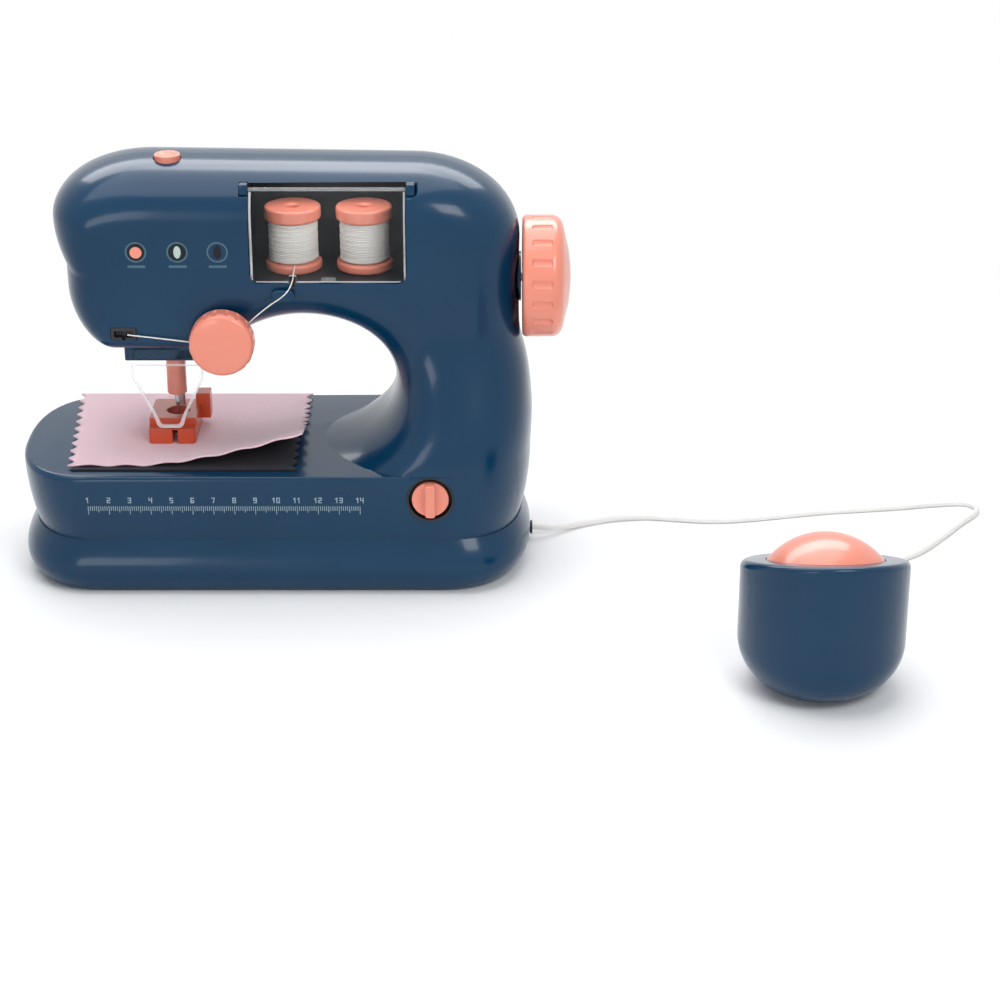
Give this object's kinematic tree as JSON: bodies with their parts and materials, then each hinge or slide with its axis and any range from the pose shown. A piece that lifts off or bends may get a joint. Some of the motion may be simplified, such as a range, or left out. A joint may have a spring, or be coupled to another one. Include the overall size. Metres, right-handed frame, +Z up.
{
  "type": "toy sewing machine",
  "caption": "Toy sewing machine with handwheel, needle bar, presser foot, spool bay under a clear cover, tension dial, switch and a corded foot pedal.",
  "frame": {"origin": "point on the underside of the bottom plate, near the middle of the base", "axes": "+Z up, +X towards the handwheel, +Y away from the front of the machine"},
  "size_m": [0.4852, 0.2397, 0.2069],
  "materials": {
    "navy_plastic": "glossy moulded",
    "black_plastic": "fine texture",
    "coral_plastic": "glossy moulded",
    "orange_plastic": "glossy moulded",
    "clear_plastic": "clear polished",
    "steel": "bright",
    "inner_plastic": "plain",
    "board": "plain",
    "gear_plastic": "plain",
    "thread": "spun thread",
    "cord_sheath": "soft sheath",
    "pink_cloth": "woven",
    "dark_cloth": "woven"
  },
  "bodies": {
    "housing": {"front_shell": "navy_plastic", "rear_shell": "navy_plastic", "bed_tub": "navy_plastic", "plinth": "navy_plastic", "hinge_blocks": "navy_plastic", "head_block": "navy_plastic", "tension_post": "navy_plastic", "wheel_bush": "navy_plastic", "pedal_body": "navy_plastic", "bottom_plate": "black_plastic", "battery_door": "black_plastic", "spool_tray": "black_plastic", "hook_guide": "black_plastic", "switch_cup": "black_plastic", "pedal_base": "black_plastic", "pedal_gland": "black_plastic", "cord_gland": "black_plastic", "thread_guide": "coral_plastic", "needle_guard": "clear_plastic", "battery_contacts": "steel", "throat_plate": "steel", "motor": "steel", "shell_screws": "steel", "bulkhead": "inner_plastic", "gear_frame": "inner_plastic", "pedal_switch": "inner_plastic", "rotary_switch": "board", "button_board": "board", "thread_run": "thread", "cord": "cord_sheath", "cloth_top": "pink_cloth", "cloth_under": "dark_cloth"},
    "drive": {"handwheel": "coral_plastic", "main_shaft": "steel", "crank_disc": "steel", "drive_gear": "gear_plastic"},
    "pinion": {"motor_pinion": "gear_plastic"},
    "needle_group": {"needle_bar": "coral_plastic", "needle_yoke": "steel", "needle": "steel"},
    "presser": {"presser_foot": "orange_plastic", "presser_bar": "steel"},
    "tension_dial": {"tension_knob": "coral_plastic"},
    "switch_dial": {"switch_knob": "coral_plastic"},
    "button": {"top_button": "coral_plastic"},
    "reel_1": {"spool_1": "coral_plastic", "thread_pack_1": "thread", "winding_1": "thread"},
    "reel_2": {"spool_2": "coral_plastic", "thread_pack_2": "thread", "winding_2": "thread"},
    "cover": {"window_cover": "clear_plastic"},
    "pedal_pad": {"pedal_dome": "coral_plastic"}
  },
  "joints": [
    {"name": "handwheel_turn", "type": "hinge", "parent": "housing", "child": "drive", "pos_m": [0.12, 0, 0.144], "axis": [1, 0, 0], "continuous": true},
    {"name": "pinion_turn", "type": "hinge", "parent": "housing", "child": "pinion", "pos_m": [0.1, 0, 0.11275], "axis": [1, 0, 0], "continuous": true},
    {"name": "needle_stroke", "type": "slide", "parent": "housing", "child": "needle_group", "axis": [0, 0, 1], "range_m": [-0.016, 0.004]},
    {"name": "presser_lift", "type": "slide", "parent": "housing", "child": "presser", "axis": [0, 0, 1], "range_m": [0, 0.006]},
    {"name": "tension_turn", "type": "hinge", "parent": "housing", "child": "tension_dial", "pos_m": [-0.019, -0.04, 0.125], "axis": [0, 1, 0], "range_deg": [-150, 150]},
    {"name": "switch_turn", "type": "hinge", "parent": "housing", "child": "switch_dial", "pos_m": [0.0783, -0.05, 0.0497], "axis": [0, 1, 0], "range_deg": [-45, 45]},
    {"name": "button_press", "type": "slide", "parent": "housing", "child": "button", "axis": [0, 0, -1], "range_m": [0, 0.002], "stiffness_N_per_m": 400},
    {"name": "spool_1_turn", "type": "hinge", "parent": "housing", "child": "reel_1", "pos_m": [0.013, -0.005, 0.16], "axis": [0, 0, 1], "continuous": true},
    {"name": "spool_2_turn", "type": "hinge", "parent": "housing", "child": "reel_2", "pos_m": [0.047, -0.005, 0.16], "axis": [0, 0, 1], "continuous": true},
    {"name": "cover_open", "type": "hinge", "parent": "housing", "child": "cover", "pos_m": [0.031, -0.02872, 0.1956], "axis": [-1, 0, 0], "range_deg": [0, 95]},
    {"name": "pedal_press", "type": "slide", "parent": "housing", "child": "pedal_pad", "axis": [0, -0.3338, -0.9426], "range_m": [0, 0.004], "stiffness_N_per_m": 700}
  ],
  "couplings": [
    {"joint": "pinion_turn", "follows": "handwheel_turn", "ratio": -4}
  ]
}
